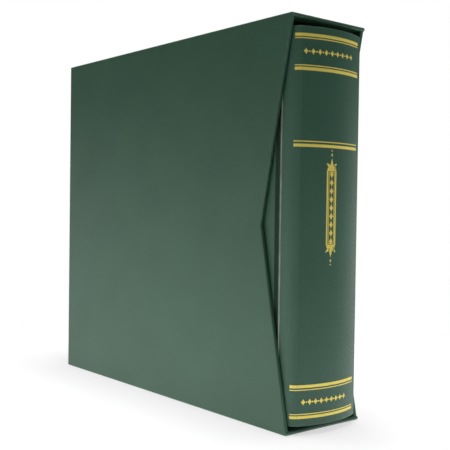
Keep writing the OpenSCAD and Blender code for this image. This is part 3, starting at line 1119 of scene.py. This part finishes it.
    def build_row(self, name: str, z: float, start: float, end: float) -> None:
        """Stamps a row of lozenges and dots.

        Args:
            name: the piece's name.
            z: height of the row.
            start: distance of its first lozenge.
            end: distance of its last lozenge.
        """
        mesh = bmesh.new()
        pitch = (end - start) / (self.row_count - 1)
        for i in range(self.row_count):
            x = start + i * pitch
            self.lozenge(mesh, x, z, *self.row_lozenge_mm)
            if i < self.row_count - 1:
                self.dot(mesh, x + pitch / 2, z, self.row_dot_mm)
        self.finish_piece(name, mesh)

    def build_panel(self) -> None:
        """Stamps a double frame, a chain of lozenges in it and petals at both its ends."""
        (foot, top), half, mid = self.panel_ends_mm, self.panel_half_mm, self.panel_x_mm
        mesh = bmesh.new()
        for inset, width in self.frame_lines:
            w, a, b = half - inset, foot + inset, top - inset
            for x in (mid - w, mid + w):
                self.ribbon(mesh, [(x, a + (b - a) * i / 24) for i in range(25)], width)
            for z in (a, b):
                self.ribbon(mesh, [(mid + w * (i / 4 - 1), z) for i in range(9)], width)
        self.finish_piece("panel_frame", mesh)
        mesh = bmesh.new()
        pitch = (top - foot - 2 * self.chain_inset_mm) / (self.chain_count - 1)
        for i in range(self.chain_count):
            z = foot + self.chain_inset_mm + i * pitch
            self.lozenge(mesh, mid, z, self.chain_mm, pitch * 0.94)
        self.finish_piece("panel_chain", mesh)
        mesh = bmesh.new()
        for z, way in ((top, 1), (foot, -1)):
            base = z + way * self.petal_gap_mm
            for turn, length in self.petals:
                tilt = turn if way > 0 else 180 - turn
                self.petal(mesh, (mid, base), length, self.petal_mm, tilt)
            beyond, *size = self.tip_lozenge
            self.lozenge(mesh, mid, base + way * beyond, *size)
            beyond, size = self.tip_dot
            self.dot(mesh, mid, base + way * beyond, size)
        self.finish_piece("panel_fleurons", mesh)

    def build(self) -> None:
        """Stamps everything on the spine."""
        self.build_fillets()
        for row in self.rows:
            self.build_row(*row)
        self.build_panel()


@dataclass
class Covers:
    """The covers: leatherette over greyboard, a bending groove and dark endpapers."""

    endpaper: Fibreboard = Fibreboard(
        "dark green endpaper", colour="#2a4036", fleck="#22352d", fleck_mm=0.9
    )
    groove_mm: float = 4.3

    def build(self) -> None:
        """Dresses the two covers."""
        sides = ("front", "back")
        skins = [f"{s}_cover_leatherette" for s in sides]
        low, high = corners(*skins)
        # The cover's groove is painted darker, as painted shade, and its edges lighter: wear and a
        # painted highlight.
        worn_and_lit = Leatherette(
            "cover leatherette, pebbled grain",
            corners_mm=(low, high),
            crease_mm=(low.y, low.y + self.groove_mm),
            **PEBBLED,
        )
        for node in skins:
            dress(node, worn_and_lit)
        for side in sides:
            dress(f"{side}_cover_board", GREYBOARD)
            dress(f"{side}_endpaper", self.endpaper)


@dataclass
class SteelWork:
    """Hinges, mounting channel and ring mechanism."""

    rings: PlatedSteel = PlatedSteel("bright nickel on the rings", colour="#d3d0c8", roughness=0.2)

    def build(self) -> None:
        """Dresses every steel node."""
        for side in ("front", "back"):
            for part in ("cover_hinge_leaf", "hinge_pin"):
                dress(f"{side}_{part}", HINGE_STEEL)
        dress("mounting_channel", SPINE_STEEL)
        for node in (
            "ring_plate",
            "rivets",
            "lever_pins",
            "left_rail",
            "right_rail",
            "left_ring_halves",
            "right_ring_halves",
            "top_lever",
            "bottom_lever",
        ):
            dress(node, self.rings)


@dataclass
class LeafBlock:
    """The leaves on the rings, with their interleaves."""

    packets: int = 4

    def build(self) -> None:
        """Dresses packets and interleaves."""
        names = [f"leaf_packet_{i + 1}" for i in range(self.packets)]
        leaves = LeafStack("cream album leaves", corners_mm=corners(*names))
        for node in names:
            dress(node, leaves)
        for i in range(self.packets - 1):
            dress(f"interleaf_{i + 1}", Glassine("glassine interleaf"))


@dataclass
class Lamp:
    """A soft rectangular lamp."""

    name: str
    place_mm: tuple[float, float, float]
    aim_mm: tuple[float, float, float]
    size_mm: tuple[float, float]
    watts: float

    def build(self) -> None:
        """Hangs the lamp and turns it to its aim."""
        data = bpy.data.lights.new(self.name, "AREA")
        data.shape = "RECTANGLE"
        data.size = self.size_mm[0] * MM
        data.size_y = self.size_mm[1] * MM
        data.energy = self.watts
        lamp = add_object(self.name, data)
        lamp.visible_camera = False
        lamp.visible_glossy = False
        place, aim = Vector(self.place_mm) * MM, Vector(self.aim_mm) * MM
        lamp.location = place
        lamp.rotation_euler = (aim - place).to_track_quat("-Z", "Y").to_euler()
        log.info("lamp %s, %g W", self.name, self.watts)


@dataclass
class Studio:
    """Camera, white table, lamps and surroundings."""

    place_mm: tuple[float, float, float] = (-446.62, -579.85, 168.1)
    azimuth: float = 39.53
    elevation: float = -1.335
    roll: float = 0.804
    lens_mm: float = 64.12
    sensor_mm: float = 36.0
    table_mm: float = 450.0
    table_drop_mm: float = 0.1
    table_glow: float = 0.6
    sweep_level: float = 0.9
    room_level: float = 0.05
    dark_way: tuple[float, float, float] = (0.4, -0.92, 0)
    dark_level: float = 0.24
    fill_level: float = 0.12
    lamps: tuple[Lamp, ...] = (
        Lamp("overhead_softbox", (0, 0, 1500), (0, 0, 0), (600, 600), 26.0),
        Lamp("side_strip", (-190, 0, 8), (-40, 0, 12), (420, 12), 0.19),
        Lamp("left_fill", (-650, 60, 40), (-40, 0, 90), (400, 200), 1.05),
        Lamp("front_fill", (150, -800, 60), (0, -165, 100), (400, 200), 1.35),
        Lamp("right_fill", (560, -230, 150), (20, -165, 150), (400, 300), 2.0),
    )

    def build_camera(self) -> None:
        """Sets the camera up on its tripod."""
        az, el, roll = (math.radians(a) for a in (self.azimuth, self.elevation, self.roll))
        ahead = Vector((math.sin(az) * math.cos(el), math.cos(az) * math.cos(el), math.sin(el)))
        right = Vector((math.cos(az), -math.sin(az), 0))
        up = right.cross(ahead)
        across = math.cos(roll) * right + math.sin(roll) * up
        upright = -math.sin(roll) * right + math.cos(roll) * up
        data = bpy.data.cameras.new("studio_camera")
        data.sensor_width = self.sensor_mm
        data.lens = self.lens_mm
        data.clip_start = 0.01
        camera = add_object("studio_camera", data)
        axes = Matrix((across, upright, -ahead)).transposed()
        camera.matrix_world = Matrix.LocRotScale(
            Vector(self.place_mm) * MM, axes.to_quaternion(), None
        )
        bpy.context.scene.camera = camera

    def build_table(self) -> None:
        """Lays the round white table that the case stands on."""
        mesh = bmesh.new()
        bmesh.ops.create_circle(mesh, cap_ends=True, segments=96, radius=self.table_mm * MM)
        data = bpy.data.meshes.new("table")
        mesh.to_mesh(data)
        mesh.free()
        table = add_object("table", data)
        table.location.z = -self.table_drop_mm * MM
        material = bpy.data.materials.new("white laminate table")
        material.use_nodes = True
        tree = material.node_tree
        tree.nodes.clear()
        output = add_node(tree, "OutputMaterial")
        white = add_node(tree, "BsdfDiffuse", None, {"Color": linear("#f7f7f7"), "Roughness": 0.0})
        path = add_node(tree, "LightPath")
        glow = add_node(tree, "Emission", None, {"Strength": path.outputs["Is Camera Ray"]})
        lifted = add_node(
            tree, "MixShader", None, {0: self.table_glow, 1: white.outputs[0], 2: glow.outputs[0]}
        )
        # Gloss sees the table at one even level, as it sees the sweep behind it.
        even = add_node(tree, "Emission", None, {"Strength": self.sweep_level})
        mirrored = add_node(
            tree,
            "MixShader",
            None,
            {0: path.outputs["Is Glossy Ray"], 1: white.outputs[0], 2: even.outputs[0]},
        )
        # Only the camera sees the glow: it lifts the table to the backdrop's white.
        seen = add_node(
            tree,
            "MixShader",
            None,
            {0: path.outputs["Is Camera Ray"], 1: mirrored.outputs[0], 2: lifted.outputs[0]},
        )
        tree.links.new(seen.outputs[0], output.inputs[0])
        data.materials.append(material)

    def build_room(self) -> None:
        """Surrounds the table with a dim room behind a white backdrop."""
        world = bpy.data.worlds.new("studio")
        bpy.context.scene.world = world
        world.use_nodes = True
        tree = world.node_tree
        tree.nodes.clear()
        output = add_node(tree, "OutputWorld")
        path = add_node(tree, "LightPath")
        way = add_node(tree, "TexCoord").outputs["Generated"]
        rise = add_node(tree, "SeparateXYZ", None, {0: way})
        white = {"Color": (1.0, 1.0, 1.0, 1.0)}
        # Gloss sees the white sweep of the floor, up to a dim room above the horizon.
        sweep = add_node(
            tree,
            "MapRange",
            SMOOTHLY,
            {
                "Value": rise.outputs[2],
                "From Min": -0.05,
                "From Max": 0.15,
                "To Min": self.sweep_level,
                "To Max": self.room_level,
            },
        )
        # The floor's sweep ends early in front of the spine, where the room is dark.
        toward = add_node(
            tree, "VectorMath", {"operation": "DOT_PRODUCT"}, {0: way, 1: self.dark_way}
        )
        dark_side = add_node(
            tree,
            "MapRange",
            SMOOTHLY,
            {
                "Value": toward.outputs["Value"],
                "From Min": 0.5,
                "From Max": 0.85,
                "To Min": 1.0,
                "To Max": self.dark_level,
            },
        )
        level = add_node(tree, "Math", MULTIPLY, {0: sweep.outputs[0], 1: dark_side.outputs[0]})
        shine = add_node(tree, "Background", None, {**white, "Strength": level.outputs[0]})
        fill = add_node(tree, "Background", None, {**white, "Strength": self.fill_level})
        room = add_node(
            tree,
            "MixShader",
            None,
            {0: path.outputs["Is Diffuse Ray"], 1: shine.outputs[0], 2: fill.outputs[0]},
        )
        backdrop = add_node(tree, "Background", None, {**white, "Strength": 1.0})
        both = add_node(
            tree,
            "MixShader",
            None,
            {0: path.outputs["Is Camera Ray"], 1: room.outputs[0], 2: backdrop.outputs[0]},
        )
        tree.links.new(both.outputs[0], output.inputs[0])

    def build(self) -> None:
        """Sets up camera, table, room and lamps."""
        self.build_camera()
        self.build_table()
        self.build_room()
        for lamp in self.lamps:
            lamp.build()
        bpy.context.scene.view_settings.view_transform = "Standard"


def main() -> None:
    """Builds the studio and dresses the object, from the outside in."""
    logging.basicConfig(level=logging.INFO, format="%(name)s: %(message)s")
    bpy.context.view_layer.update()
    Studio().build()
    SlipCase().build()
    Covers().build()
    Spine().build()
    SpineGilding().build()
    SteelWork().build()
    LeafBlock().build()


if __name__ == "__main__":
    main()
